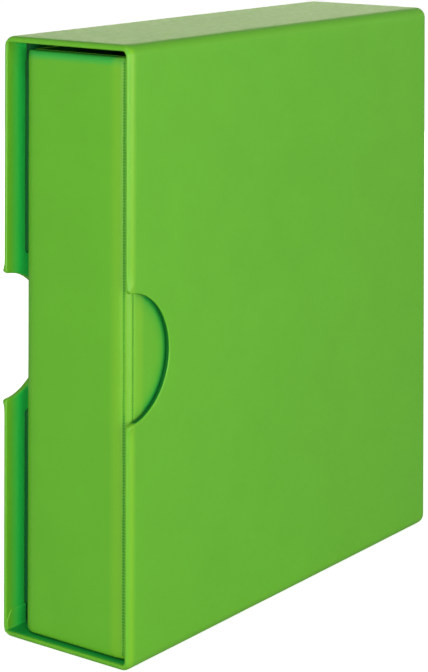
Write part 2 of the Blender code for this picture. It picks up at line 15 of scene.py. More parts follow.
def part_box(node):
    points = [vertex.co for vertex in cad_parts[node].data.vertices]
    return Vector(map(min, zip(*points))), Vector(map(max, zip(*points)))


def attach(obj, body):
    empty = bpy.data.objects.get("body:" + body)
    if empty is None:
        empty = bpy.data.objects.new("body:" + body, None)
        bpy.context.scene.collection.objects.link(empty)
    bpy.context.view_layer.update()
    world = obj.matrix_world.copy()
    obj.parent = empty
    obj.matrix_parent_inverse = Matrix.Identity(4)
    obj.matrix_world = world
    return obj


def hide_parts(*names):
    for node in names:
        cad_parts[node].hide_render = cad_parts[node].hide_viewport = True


MM = 0.001

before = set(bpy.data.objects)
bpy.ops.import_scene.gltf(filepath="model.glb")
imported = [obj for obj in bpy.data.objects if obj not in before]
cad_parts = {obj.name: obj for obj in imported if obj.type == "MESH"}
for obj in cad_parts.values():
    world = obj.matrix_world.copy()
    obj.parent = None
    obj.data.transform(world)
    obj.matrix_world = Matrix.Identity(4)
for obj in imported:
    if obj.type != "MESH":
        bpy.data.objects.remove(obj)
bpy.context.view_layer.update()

# Slipcase
CASE_LOW, CASE_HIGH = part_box("slipcase_outer_wrap")
CASE_X = CASE_HIGH.x
CASE_TOP = CASE_HIGH.z
MOUTH_Y = CASE_LOW.y
REAR_Y = CASE_HIGH.y
WALL = 3.2 * MM
EDGE_RADIUS = 6.0 * MM
INNER_CORNER_SQUARENESS = 6.0
TURN_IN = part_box("slipcase_inner_lining")[0].y - MOUTH_Y
SKIN = 0.35 * MM
SKIN_WAVES = 0.10 * MM

# The mouth's rims: (how far back a rim's rounding reaches, how far it drops)
SIDE_RIM = (6.0 * MM, 2.3 * MM)
LEVEL_RIM = (3.2 * MM, 2.4 * MM)
RIM_INNER_RADIUS = 0.8 * MM

# Thumb notch; the zone is the height, up and down, over which the columns turn to it
NOTCH_RADIUS = 34.0 * MM
NOTCH_Z = 162.2 * MM
NOTCH_FILLET = 2.5 * MM
NOTCH_RIM = (0.6 * MM, 0.45 * MM)
NOTCH_RIM_FADE = 7.5 * MM
NOTCH_INNER_RADIUS = 1.4 * MM
NOTCH_ZONE = 60.0 * MM
NOTCH_TURN_IN_RADIUS = 46.0 * MM

# Corner flaps; softness is how far from its outline a flap reaches its full thickness
FLAP_LENGTH = 15.0 * MM
FLAP_SLOPE = 4.6 * MM
FLAP_PLEAT_PITCH = 1.1 * MM
LOWER_FLAP = {"rise": 10.4 * MM, "thickness": 0.35 * MM, "softness": 0.45 * MM, "pleats": 0.0}
UPPER_FLAP = {"rise": 12.0 * MM, "thickness": 0.09 * MM, "softness": 3.0 * MM,
              "pleats": 0.05 * MM}

# Album
ALBUM_LOW, ALBUM_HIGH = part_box("album_outer_wrap")
ALBUM_HALF = (ALBUM_HIGH.x - ALBUM_LOW.x) / 2
ALBUM_X = (ALBUM_HIGH.x + ALBUM_LOW.x) / 2
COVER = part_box("album_inner_lining")[0].x - ALBUM_LOW.x + 0.4 * MM
PLAN_CORNER_RADIUS = 4.0 * MM
LINING_THICKNESS = 0.4 * MM
FOAM_DEPTH = (0.5 * MM, 2.15 * MM)
FOAM_EDGE = 1.2 * MM
SPINE_FOAM_SETBACK = 5.3 * MM
WELD_PITCH = 1.6 * MM
WELD_STEPS = 6
WELD_BEAD_RISE = 0.24 * MM
WELD_END = 2.6 * MM

# Edge roundings of the boards; three are pressed round under the tightly wrapped vinyl
BOARD_ROUND = 0.15 * MM
PRESSED_ROUNDS = {"spine_board": 0.95 * MM, "slipcase_left_board": 1.1 * MM,
                  "slipcase_right_board": 1.1 * MM}

# Rings
RING_WIRE_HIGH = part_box("right_ring_half_1")[1]
RING_WIRE_RADIUS = 1.7 * MM
RING_RADIUS = RING_WIRE_HIGH.x - ALBUM_X - RING_WIRE_RADIUS
RING_Y = RING_WIRE_HIGH.y - RING_RADIUS - RING_WIRE_RADIUS
RING_ROOT_OFFSET = 12.0 * MM
RING_TIP_GAP = 0.3 * MM
RING_TIP_DOME = 0.35
RING_COUNT = 4

# Pages
PAGE_COUNT = 10
PAGE_CORNER_RADIUS = 2.5 * MM
RING_SLOT = (8.5 * MM, 4.8 * MM)
RING_SLOT_SETBACK = 7.1 * MM
FOIL_GAPS = 5
FOIL_GAP = 1.6 * MM
FOIL_GAP_SETBACK = 4.0 * MM

# Camera: nearly level, with the lens shifted down so that upright edges stay upright
CAMERA_PLACE = Vector((0.7278, -1.0029, 0.4376))
CAMERA_AZIMUTH = math.radians(36.46)
CAMERA_PITCH = math.radians(-0.27)
CAMERA_ROLL = math.radians(0.15)
CAMERA_LENS_MM = 113.41
CAMERA_SHIFT = -0.7412
CAMERA_LEEWAY = 0.05

# Surround: brightness at the horizon and overhead, and the floor's own white
SURROUND_HORIZON = 0.60
SURROUND_TOP = 0.20
FLOOR_GLOW = 0.80
FLOOR_BOUNCE = 0.55
FLOOR_DROP = 0.2 * MM
LIGHT_DISTANCE = 1.75

# Base colours, linear.  The edge green is partly a painted highlight; the half-shade and shaded
# greens are painted shade, and the lining green is darkened to stand for shade inside
GREEN = (0.115, 0.420, 0.023)
GREEN_PALE_EDGE_AND_HIGHLIGHT = (0.225, 0.490, 0.020)
GREEN_HALF_SHADE = (0.020, 0.600, 0.095)
GREEN_SHADED = (0.001, 0.060, 0.012)
GREEN_LINING_IN_SHADE = (0.001, 0.130, 0.030)
GREYBOARD = (0.230, 0.215, 0.185)
FOAM_WHITE = (0.720, 0.710, 0.660)
STEEL = (0.640, 0.630, 0.600)
CARD_BLACK = (0.016, 0.016, 0.018)
FOIL_CLEAR = (0.850, 0.880, 0.900)

# How near other surfaces have to be for the painted shade in the vinyl's colour
CREVICE = 14.0 * MM


# ---- mesh tools

def smooth_step(value):
    t = min(1.0, max(0.0, value))
    return t * t * (3.0 - 2.0 * t)


def mix(a, b, t):
    return a + (b - a) * t


def quarter(count):
    """Angles from 0 to 90 degrees, both ends included."""
    return [math.pi / 2 * step / count for step in range(count + 1)]


def spread(start, end, count):
    """Values from start to end in even steps, the end left out."""
    return [mix(start, end, step / count) for step in range(count)]


def new_piece(name, shape, material, body, stands_for=(), smooth_angle=40.0):
    """Turn a bmesh into a smooth-shaded piece that rides on a CAD body."""
    bmesh.ops.recalc_face_normals(shape, faces=shape.faces)
    mesh = bpy.data.meshes.new(name)
    shape.to_mesh(mesh)
    shape.free()
    mesh.shade_smooth()
    mesh.set_sharp_from_angle(angle=math.radians(smooth_angle))
    mesh.materials.append(material)
    piece = bpy.data.objects.new(name, mesh)
    bpy.context.scene.collection.objects.link(piece)
    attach(piece, body)
    if stands_for:
        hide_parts(*stands_for)
    return piece


def skin_rows(rows, closed, cap=False):
    """A sheet of quads through rows of points; closed joins each row's ends."""
    shape = bmesh.new()
    grid = [[shape.verts.new(p) for p in row] for row in rows]
    for lower, upper in zip(grid, grid[1:]):
        count = len(lower)
        for i in range(count if closed else count - 1):
            j = (i + 1) % count
            shape.faces.new((lower[i], lower[j], upper[j], upper[i]))
    if cap:
        shape.faces.new(grid[-1])
    bmesh.ops.remove_doubles(shape, verts=shape.verts, dist=1e-7)
    bmesh.ops.dissolve_degenerate(shape, edges=shape.edges, dist=1e-7)
    return shape


def closed_solid(rows):
    """A solid through closed rows of points, with a face over each end."""
    shape = skin_rows(rows, closed=True, cap=True)
    bmesh.ops.holes_fill(shape, edges=[e for e in shape.edges if e.is_boundary])
    return shape


def thicken(piece, thickness, offset=-1.0):
    modifier = piece.modifiers.new("skin_thickness", "SOLIDIFY")
    modifier.thickness = thickness
    modifier.offset = offset
    modifier.use_quality_normals = True


def soften_edges(piece, width, segments):
    """Join a CAD mesh's split corners and round its edges, without touching its vertices."""
    weld = piece.modifiers.new("join_corners", "WELD")
    weld.merge_threshold = 1e-6
    bevel = piece.modifiers.new("edge_round", "BEVEL")
    bevel.width = width
    bevel.segments = segments
    bevel.limit_method = "ANGLE"
    bevel.angle_limit = math.radians(30.0)
    bevel.use_clamp_overlap = True
    bevel.harden_normals = True


# ---- materials

class Nodes:
    """A short way to write the node tree of a material, or of the world."""

    def __init__(self, name, kind=bpy.data.materials, shader="Principled BSDF"):
        self.owner = kind.new(name)
        self.owner.use_nodes = True
        self.tree = self.owner.node_tree
        self.shader = self.tree.nodes[shader]
        self.place = self.add("ShaderNodeTexCoord").outputs["Object"]

    def add(self, kind, inputs=None, **settings):
        node = self.tree.nodes.new(kind)
        for key, value in settings.items():
            setattr(node, key, value)
        for key, value in (inputs or {}).items():
            self.feed(node.inputs[key], value)
        return node

    def feed(self, socket, value):
        if isinstance(value, bpy.types.NodeSocket):
            self.tree.links.new(value, socket)
        else:
            socket.default_value = value

    def math(self, operation, a, b=0.0):
        node = self.add("ShaderNodeMath", operation=operation)
        self.feed(node.inputs[0], a)
        self.feed(node.inputs[1], b)
        return node.outputs[0]

    def product(self, first, *others):
        for other in others:
            first = self.math("MULTIPLY", first, other)
        return first

    def greatest(self, first, *others):
        for other in others:
            first = self.math("MAXIMUM", first, other)
        return first

    def past(self, axis, start):
        """How far a point lies past a place on an axis."""
        return self.math("SUBTRACT", self.along(axis), start)

    def stretched(self, scale):
        mapping = self.add("ShaderNodeMapping", {"Vector": self.place, "Scale": scale})
        return mapping.outputs["Vector"]

    def along(self, axis):
        """A coordinate of the point being shaded, in the frame at rest."""
        return self.add("ShaderNodeSeparateXYZ", {"Vector": self.place}).outputs[axis]

    def noise(self, scale, detail=3.0, place=None):
        node = self.add("ShaderNodeTexNoise",
                        {"Vector": place or self.place, "Scale": scale, "Detail": detail})
        return node.outputs["Fac"]

    def cells(self, scale, feature="F1"):
        node = self.add("ShaderNodeTexVoronoi", {"Vector": self.place, "Scale": scale},
                        feature=feature)
        return node.outputs["Distance"]

    def openness(self, distance, only_local=False):
        """1 in the open, 0 where other surfaces close in; only_local counts just the piece."""
        node = self.add("ShaderNodeAmbientOcclusion", {"Distance": distance}, samples=6,
                        only_local=only_local)
        return node.outputs["AO"]

    def range(self, value, low, high, to_low=0.0, to_high=1.0):
        node = self.add("ShaderNodeMapRange",
                        {"Value": value, "From Min": low, "From Max": high,
                         "To Min": to_low, "To Max": to_high})
        return node.outputs["Result"]

    def falling(self, value, low, high):
        return self.range(value, low, high, 1.0, 0.0)

    def edge_wear_and_highlight(self, low, high, most):
        """Up to a share where the surface turns sharply outward."""
        pointed = self.add("ShaderNodeNewGeometry").outputs["Pointiness"]
        return self.range(pointed, low, high, 0.0, most)

    def blend(self, share, first, second):
        node = self.add("ShaderNodeMix", data_type="RGBA")
        self.feed(node.inputs["Factor"], share)
        self.feed(node.inputs["A"], first)
        self.feed(node.inputs["B"], second)
        return node.outputs["Result"]

    def bump(self, height, strength, distance):
        node = self.add("ShaderNodeBump", {"Height": height, "Strength": strength,
                                           "Distance": distance})
        return node.outputs["Normal"]

    def finish(self, colour, roughness, normal=None, **extra):
        self.feed(self.shader.inputs["Base Color"], colour)
        self.feed(self.shader.inputs["Roughness"], roughness)
        if normal is not None:
            self.feed(self.shader.inputs["Normal"], normal)
        for key, value in extra.items():
            self.feed(self.shader.inputs[key.capitalize()], value)
        return self.owner


def rgba(colour, factor=1.0):
    return (*(min(1.0, c * factor) for c in colour), 1.0)


def leatherette(name, shade_shares, paler=None):
    """Vinyl leatherette: fine pebble grain, slight mottling, paler stretched edges.

    Painted shade: where light only reaches it off other vinyl, in folds and gaps, its
    colour is painted deeper, and in the narrowest gaps nearly black.  The paler edges are
    partly stretched vinyl and partly a painted highlight.  The shade function passed in
    takes the nodes and returns a piece's own shares of the painted half-shade and shade
    colours; the highlight function, if any, returns its share of the pale edge colour.
    """
    n = Nodes(name)
    base = n.blend(n.range(n.noise(38.0, 4.0), 0.3, 0.7), rgba(GREEN, 0.975), rgba(GREEN, 1.025))
    base = n.blend(n.range(n.noise(9.0, 2.0), 0.35, 0.65, 0.0, 0.25), base, rgba(GREEN, 0.95))
    # Painted shade: half-shade green where surfaces close in, shaded green in the narrowest gaps,
    # kept off the foot by the floor
    above_foot = n.range(n.along("Z"), 2.0 * MM, 4.5 * MM)
    own_half_shade, own_shaded = shade_shares(n)
    half_shade = n.falling(n.openness(CREVICE, only_local=True), 0.30, 0.85)
    half_shade = n.greatest(n.product(half_shade, above_foot), own_half_shade)
    shaded = n.falling(n.openness(CREVICE), 0.01, 0.12)
    shaded = n.greatest(n.product(shaded, above_foot), own_shaded)
    base = n.blend(half_shade, base, rgba(GREEN_HALF_SHADE))
    base = n.blend(shaded, base, rgba(GREEN_SHADED))
    # Paler convex edges: partly stretched vinyl, partly a painted highlight; a piece's own band
    # of painted highlight is laid over them
    edge = n.product(n.edge_wear_and_highlight(0.502, 0.56, 0.32), n.range(half_shade, 0.0, 1.0, 1.0, 0.25))
    if paler is not None:
        edge = n.greatest(edge, paler(n))
    base = n.blend(edge, base, rgba(GREEN_PALE_EDGE_AND_HIGHLIGHT))
    relief = n.math("ADD", n.cells(1350.0, "SMOOTH_F1"), n.product(n.noise(2600.0, 2.0), 0.5))
    normal = n.bump(relief, 0.22, 0.00012)
    rough = n.range(n.noise(420.0, 3.0), 0.3, 0.7, 0.36, 0.46)
    rough = n.math("SUBTRACT", rough, n.product(edge, 0.06))
    # Less shine where the shade is painted
    n.feed(n.shader.inputs["Specular IOR Level"], n.range(shaded, 0.0, 1.0, 0.42, 0.10))
    return n.finish(base, rough, normal)


def case_rim_painted_highlight(n):
    """Painted highlight on the side rims of the mouth, in a band a little back from the edge."""
    behind = n.past("Y", MOUTH_Y)
    outside = n.math("ABSOLUTE", n.along("X"))
    return n.product(n.range(behind, 0.4 * MM, 2.0 * MM, 0.0, 0.50),
                     n.falling(behind, 2.8 * MM, 5.8 * MM),
                     n.range(outside, CASE_X - 3 * MM, CASE_X - 1.5 * MM))


def case_inside_painted_shade(n):
    """Painted shade on the turn-ins inside the mouth, growing back from the mouth, on the inner
    faces of the top and bottom walls, and on the front notch's edge, which the album is close to.
    """
    behind = n.past("Y", MOUTH_Y)
    across = n.math("ABSOLUTE", n.along("X"))
    half_height = CASE_TOP / 2
    off_middle = n.math("ABSOLUTE", n.past("Z", half_height))
    inside = n.product(n.falling(across, CASE_X - 3.1 * MM, CASE_X - 2.6 * MM),
                       n.falling(off_middle, half_height - 3.0 * MM, half_height - 2.7 * MM),
                       n.falling(behind, 30.0 * MM, 40.0 * MM))
    level = n.product(n.range(off_middle, half_height - 3.6 * MM, half_height - 3.4 * MM),
                      n.range(behind, 0.5 * MM, 2.2 * MM), inside)
    side = n.product(inside, n.range(behind, 3.0 * MM, 11.0 * MM))
    reach = n.math("SQRT", n.math("ADD", n.math("POWER", behind, 2.0),
                                  n.math("POWER", n.past("Z", NOTCH_Z), 2.0)))
    notch = n.product(n.falling(reach, NOTCH_RADIUS + 3.0 * MM, NOTCH_RADIUS + 4.0 * MM),
                      n.range(behind, 3.0 * MM, 6.0 * MM),
                      n.range(n.along("X"), CASE_X - WALL, CASE_X - 2.8 * MM),
                      n.falling(n.along("X"), CASE_X - 0.75 * MM, CASE_X - 0.45 * MM))
    shaded = n.greatest(n.product(level, 0.50), n.product(notch, 0.88))
    return n.greatest(side, level, notch), shaded


def spine_edge_painted_highlight(n):
    """Painted highlight along the front cover's spine edge."""
    inward = n.math("SUBTRACT", ALBUM_HIGH.x, n.along("X"))
    round_edge = n.math("ADD", inward, n.past("Y", ALBUM_LOW.y))
    return n.product(n.range(round_edge, 1.5 * MM, 4.0 * MM, 0.0, 0.36),
                     n.falling(round_edge, 10.0 * MM, 13.5 * MM))


def album_painted_shade(n):
    """Painted shadow of the slipcase's top on the spine's head, and painted shade on the cover
    along the notch's edge.
    """
    head = n.product(n.range(n.along("Z"), ALBUM_HIGH.z - 5.5 * MM, ALBUM_HIGH.z - 2.0 * MM),
                     n.falling(n.along("Y"), ALBUM_LOW.y + 1.0 * MM, ALBUM_LOW.y + 4.0 * MM))
    covered = n.product(n.range(n.along("X"), ALBUM_HIGH.x - 0.8 * MM, ALBUM_HIGH.x - 0.4 * MM),
                        n.falling(n.openness(8.0 * MM), 0.45, 0.92))
    half_shade = n.greatest(n.product(head, 0.80), covered)
    return half_shade, n.greatest(n.product(head, 0.38), n.product(covered, 0.60))


def weld_marks_painted_shade(n):
    """The welds' pressed marks, with painted shade between the beads and in the crease, and a
    painted shadow of the slipcase's rim over the spine's weld, weak at the notch, where the rim
    is cut away."""
    turns = n.product(n.along("Z"), math.tau / WELD_PITCH)
    marks = n.range(n.math("SINE", turns), -0.5, 0.7, 0.80, 0.10)
    from_notch = n.math("ABSOLUTE", n.past("Z", NOTCH_Z))
    # Painted shadow of the slipcase's rim: strong along the spine's weld, weak at the notch,
    # where the rim is cut away
    rim_shadow = n.range(from_notch, 26.0 * MM, 34.0 * MM, 0.12, 0.75)
    crease = n.range(n.along("Y"), ALBUM_LOW.y + 2.5 * MM, ALBUM_LOW.y + 3.5 * MM, 0.0, 0.75)
    share = n.product(marks, n.greatest(rim_shadow, crease))
    return n.product(share, 0.6), n.product(share, 0.75)


def lining_vinyl(name, colour):
    """The thinner vinyl inside: fine ribs across the depth and a duller face."""
    n = Nodes(name)
    base = n.blend(n.range(n.noise(30.0, 3.0), 0.3, 0.7), rgba(colour, 0.95), rgba(colour, 1.05))
    ribs = n.noise(900.0, 2.0, n.stretched((0.25, 0.05, 1.0)))
    # Painted shade: darker where other surfaces close in
    base = n.blend(n.falling(n.openness(CREVICE), 0.05, 0.40), base, rgba(GREEN_SHADED, 0.3))
    normal = n.bump(ribs, 0.3, 0.0001)
    rough = n.range(n.noise(300.0), 0.3, 0.7, 0.50, 0.60)
    n.feed(n.shader.inputs["Specular IOR Level"], 0.20)
    return n.finish(base, rough, normal)


def greyboard():
    n = Nodes("greyboard_pulp")
    fibres = n.noise(700.0, 5.0, n.stretched((1.0, 0.35, 1.0)))
    flecks = n.cells(420.0)
    base = n.blend(n.range(fibres, 0.3, 0.7), rgba(GREYBOARD, 0.82), rgba(GREYBOARD, 1.18))
    base = n.blend(n.range(flecks, 0.0, 0.12, 0.55, 0.0), base, rgba((0.10, 0.09, 0.08)))
    return n.finish(base, 0.92, n.bump(fibres, 0.5, 0.00015))


def foam_sheet():
    n = Nodes("foam_padding")
    bubbles = n.cells(900.0)
    base = n.blend(n.range(bubbles, 0.0, 0.6), rgba(FOAM_WHITE, 0.86), rgba(FOAM_WHITE, 1.06))
    return n.finish(base, 0.95, n.bump(bubbles, 0.7, 0.0003))


def plated_steel(name, along):
    """Nickel-plated steel: drawn lines along the strip, faint smears, worn edges."""
    n = Nodes(name)
    lines = n.noise(500.0, 4.0, n.stretched(along))
    smears = n.noise(60.0, 3.0)
    base = n.blend(n.range(lines, 0.3, 0.7), rgba(STEEL, 0.90), rgba(STEEL, 1.08))
    base = n.blend(n.edge_wear_and_highlight(0.52, 0.60, 0.5), base, rgba((0.78, 0.77, 0.74)))
    rough = n.math("ADD", n.range(lines, 0.3, 0.7, 0.14, 0.24),
                   n.range(smears, 0.4, 0.7, 0.0, 0.10))
    return n.finish(base, rough, n.bump(lines, 0.10, 0.00005), metallic=1.0)


def black_card():
    n = Nodes("black_stock_card")
    fibres = n.noise(900.0, 5.0)
    base = n.blend(n.range(fibres, 0.3, 0.75), rgba(CARD_BLACK, 0.7), rgba(CARD_BLACK, 2.2))
    base = n.blend(n.edge_wear_and_highlight(0.52, 0.58, 0.5), base, rgba((0.06, 0.06, 0.06)))
    return n.finish(base, 0.72, n.bump(fibres, 0.35, 0.0001))


def clear_foil():
    n = Nodes("clear_pocket_foil")
    streaks = n.noise(120.0, 3.0, n.stretched((1.0, 1.0, 6.0)))
    rough = n.range(streaks, 0.3, 0.7, 0.05, 0.13)
    return n.finish(rgba(FOIL_CLEAR), rough, n.bump(streaks, 0.15, 0.0001), alpha=0.32)


# ---- slipcase shape

class Column:
    """One line across the slipcase's wall, from the mouth's edge to the rear.

    base is the wall's outer face, out its outward normal and along its direction in the
    XZ plane.  edge_y is where the wall starts; inward points from its edge into the wall.
    """

    def __init__(self, base, out, along, edge_y=0.0, inward=(1.0, 0.0),
                 rim=SIDE_RIM, turn=None, rear_shift=0.0, inner=-WALL):
        self.base = base
        self.out = out
        self.along = along
        self.edge_y = edge_y
        self.inward = inward
        self.rim_depth, self.rim_drop = rim
        self.turn = turn or (TURN_IN, 0.0)
        self.rear_shift = rear_shift
        self.inner = inner
        self.inner_radius = RIM_INNER_RADIUS

    def at(self, y, shift, height):
        x = self.base[0] + self.along[0] * shift + self.out[0] * height
        z = self.base[1] + self.along[1] * shift + self.out[1] * height
        return Vector((x, MOUTH_Y + y, z))

    def edge(self, depth, height):
        return self.at(self.edge_y + self.inward[0] * depth, self.inward[1] * depth, height)


def corner_columns(side_x, side_z, turn):
    """A corner of the case.  The rim changes from a side wall's to a level wall's."""
    columns = []
    centre = (side_x * (CASE_X - EDGE_RADIUS),
              CASE_TOP - EDGE_RADIUS if side_z > 0 else EDGE_RADIUS)
    power = INNER_CORNER_SQUARENESS
    for angle in quarter(8)[:-1]:
        out = (math.cos(angle + turn), math.sin(angle + turn))
        base = (centre[0] + out[0] * EDGE_RADIUS, centre[1] + out[1] * EDGE_RADIUS)
        roundness = (math.cos(angle) ** power + math.sin(angle) ** power) ** (1 / power)
        inner = (EDGE_RADIUS - WALL) / roundness - EDGE_RADIUS
        rim = [mix(side, level, abs(out[1])) for side, level in zip(SIDE_RIM, LEVEL_RIM)]
        columns.append(Column(base, out, (-out[1], out[0]), rim=rim, inner=inner))
    return columns


def notch_half():
    """Edge of half a notch: (y, z, inward y, inward z) from the zone's end to its middle."""
    points = []
    radius, fillet = NOTCH_RADIUS, NOTCH_FILLET
    fillet_z = math.sqrt((radius + fillet) ** 2 - fillet ** 2)
    lean = math.atan2(fillet_z, fillet)
    for z in spread(NOTCH_ZONE, fillet_z, 9):
        points.append((0.0, z, 1.0, 0.0))
    for angle in spread(math.pi, math.pi + lean, 7):
        y_out, z_out = math.cos(angle), math.sin(angle)
        points.append((fillet + fillet * y_out, fillet_z + fillet * z_out, -y_out, -z_out))
    for angle in spread(lean, 0.0, 34):
        y_out, z_out = math.cos(angle), math.sin(angle)
        points.append((radius * y_out, radius * z_out, y_out, z_out))
    points.append((radius, 0.0, 1.0, 0.0))
    return points


def turn_in_target(share):
    """Where a notch column's turn-in ends, for a share of the way from the zone's end."""
    radius = NOTCH_TURN_IN_RADIUS
    bend = math.acos(TURN_IN / radius)
    straight = NOTCH_ZONE - radius * math.sin(bend)
    walked = share * (straight + radius * bend)
    if walked < straight:
        return TURN_IN, NOTCH_ZONE - walked
    angle = bend - (walked - straight) / radius
    return radius * math.cos(angle), radius * math.sin(angle)


def notch_columns(side):
    """Columns of a side wall round its notch, from low to high."""
    half = notch_half()
    walked = [0.0]
    for a, b in zip(half, half[1:]):
        walked.append(walked[-1] + math.hypot(b[0] - a[0], b[1] - a[1]))
    lower, upper = [], []
    for (y, z, in_y, in_z), distance in zip(half, walked):
        share = distance / walked[-1]
        turn_y, turn_z = turn_in_target(share)
        wide = smooth_step((z - NOTCH_RADIUS - 0.5 * MM) / NOTCH_RIM_FADE)
        dropped = smooth_step((z - NOTCH_RADIUS + 6.0 * MM) / NOTCH_RIM_FADE)
        rim = (mix(NOTCH_RIM[0], SIDE_RIM[0], wide), mix(NOTCH_RIM[1], SIDE_RIM[1], dropped))
        rear_z = NOTCH_ZONE * (1.0 - share)
        for columns, flip in ((lower, -1), (upper, 1)):
            column = Column((side * CASE_X, NOTCH_Z + flip * z), (side, 0.0), (0.0, 1.0),
                            y, (in_y, flip * in_z), rim,
                            (turn_y, flip * (turn_z - z)), flip * (rear_z - z))
            column.inner_radius = mix(NOTCH_INNER_RADIUS, RIM_INNER_RADIUS, dropped)
            columns.append(column)
    return lower + upper[-2::-1]


def side_columns(side):
    """A side wall's columns from its lower to its upper corner."""
    def plain(zs):
        return [Column((side * CASE_X, z), (side, 0.0), (0.0, 1.0)) for z in zs]

    below = spread(EDGE_RADIUS, NOTCH_Z - NOTCH_ZONE, 18)
    above = spread(NOTCH_Z + NOTCH_ZONE, CASE_TOP - EDGE_RADIUS, 19)[1:]
    return plain(below) + notch_columns(side) + plain(above)


def level_columns(z, out_z):
    """The top or bottom wall's columns, from +X to -X."""
    half = CASE_X - EDGE_RADIUS
    return [Column((x, z), (0.0, out_z), (1.0, 0.0), rim=LEVEL_RIM)
            for x in spread(half, -half, 14)]


def mouth_columns():
    """Columns round the whole mouth, anticlockwise as seen from the front."""
    columns = side_columns(1)
    columns += corner_columns(1, 1, 0.0)
    columns += level_columns(CASE_TOP, 1.0)
    columns += corner_columns(-1, 1, math.pi / 2)
    columns += list(reversed(side_columns(-1)))
    columns += corner_columns(-1, -1, math.pi)
    columns += list(reversed(level_columns(0.0, -1.0)))
    columns += corner_columns(1, -1, 1.5 * math.pi)
    return columns


def rest_of_wall(column, share, height):
    """A point between the rim's rounding and the rear, at a height over the outer face."""
    start_y = column.edge_y + column.inward[0] * column.rim_depth
    start_shift = column.inward[1] * column.rim_depth
    rear = REAR_Y - MOUTH_Y - EDGE_RADIUS
    return column.at(mix(start_y, rear, share),
                     mix(start_shift, column.rear_shift, share), height)


def board_waviness(point):
    """Slow rise and fall of the covered boards."""
    slow, quick = noise.noise(point * 14.0), noise.noise(point * 45.0)
    return SKIN_WAVES * slow + SKIN_WAVES * 0.4 * quick


def slipcase_rows(columns):
    rows = []
    # The row next to the turn-in's end keeps the shading flat up to that end.
    for share in [0.0, 0.02] + spread(0.25, 1.0, 3):
        row = []
        for c in columns:
            y = mix(c.turn[0], c.edge_y + c.inward[0] * c.inner_radius, share)
            shift = mix(c.turn[1], c.inward[1] * c.inner_radius, share)
            row.append(c.at(y, shift, c.inner))
        rows.append(row)
    for angle in quarter(4):
        depth, height = 1 - math.sin(angle), 1 - math.cos(angle)
        rows.append([c.edge(depth * c.inner_radius, c.inner + height * c.inner_radius)
                     for c in columns])
    for angle in quarter(9):
        rows.append([c.edge(c.rim_depth * (1 - math.cos(angle)),
                            -c.rim_drop * (1 - math.sin(angle))) for c in columns])
    steps = 46
    for step in range(1, steps + 1):
        share = step / steps
        row = []
        for c in columns:
            point = rest_of_wall(c, share, 0.0)
            fade = smooth_step(share * 12) * smooth_step((1 - share) * 12)
            row.append(rest_of_wall(c, share, fade * board_waviness(point)))
        rows.append(row)
    for angle in quarter(8)[1:]:
        y = REAR_Y - MOUTH_Y - EDGE_RADIUS * (1 - math.sin(angle))
        height = -EDGE_RADIUS * (1 - math.cos(angle))
        rows.append([c.at(y, c.rear_shift, height) for c in columns])
    ring = rows[-1]
    for share in (0.12, 0.3, 0.55, 0.8):
        rows.append([p.lerp(Vector((0.0, REAR_Y, mix(p.z, CASE_TOP / 2, 0.4))), share)
                     for p in ring])
    return rows


def slipcase_leatherette(material):
    rows = slipcase_rows(mouth_columns())
    shape = skin_rows(rows, closed=True, cap=True)
    piece = new_piece("slipcase_leatherette", shape, material, "slipcase",
                      ("slipcase_outer_wrap",))
    thicken(piece, SKIN)


def slipcase_lining(material):
    """The lining behind the turn-ins, over the four walls and the back."""
    columns = mouth_columns()
    depth = REAR_Y - MOUTH_Y - WALL
    rows = []
    steps = 24
    for step in range(steps + 1):
        share = step / steps
        row = []
        for c in columns:
            y = mix(c.turn[0] + 0.3 * MM, depth, share)
            shift = mix(c.turn[1], c.rear_shift, share)
            row.append(c.at(y, shift, c.inner))
        rows.append(row)
    for share in (0.1, 0.5, 0.9):
        rows.append([p.lerp(Vector((0.0, p.y, mix(p.z, CASE_TOP / 2, 0.5))), share)
                     for p in rows[steps]])
    shape = skin_rows(rows, closed=True, cap=True)
    piece = new_piece("slipcase_lining", shape, material, "slipcase",
                      ("slipcase_inner_lining",))
    thicken(piece, SKIN, offset=1.0)


def corner_flap(name, material, side_z, rise, thickness, softness, pleats):
    """The wrap's corner flap, folded against the left wall inside the mouth."""
    wall_x = -CASE_X + WALL
    floor = WALL if side_z < 0 else CASE_TOP - WALL
    depth_steps, rise_steps = 60, 48
    rows = []
    for i in range(depth_steps + 1):
        y = FLAP_LENGTH * i / depth_steps
        reach = rise * mix(0.45, 1.0, math.sin(min(1.0, y / FLAP_SLOPE) * math.pi / 2))
        row = []
        for j in range(rise_steps + 1):
            share = j / rise_steps
            z = floor - side_z * reach * share
            edge = min(reach * (1 - share), y)
            lift = thickness * math.sqrt(min(1.0, edge / softness))
            fold = math.sin(share * rise / FLAP_PLEAT_PITCH * math.tau)
            lift += pleats * fold * smooth_step((1 - share) * 3) * smooth_step(y / (3 * MM))
            row.append(Vector((wall_x + lift - 0.05 * MM, MOUTH_Y + 0.8 * MM + y, z)))
        rows.append(row)
    piece = new_piece(name, skin_rows(rows, closed=False), material, "slipcase")
    thicken(piece, 0.2 * MM)


# ---- binder shape

def smooth_path(points, count):
    """A smooth curve through 2-D points, with count steps between each two."""
    path = []
    last = len(points) - 1
    for i in range(last):
        p0 = points[max(i - 1, 0)]
        p1, p2 = points[i], points[i + 1]
        p3 = points[min(i + 2, last)]
        for t in spread(0.0, 1.0, count):
            weights = (-t + 2 * t * t - t ** 3, 2 - 5 * t * t + 3 * t ** 3,
                       t + 4 * t * t - 3 * t ** 3, -t * t + t ** 3)
            path.append(tuple(sum(w * p[k] for w, p in zip(weights, (p0, p1, p2, p3))) / 2
                              for k in (0, 1)))
    path.append(points[last])
    return path


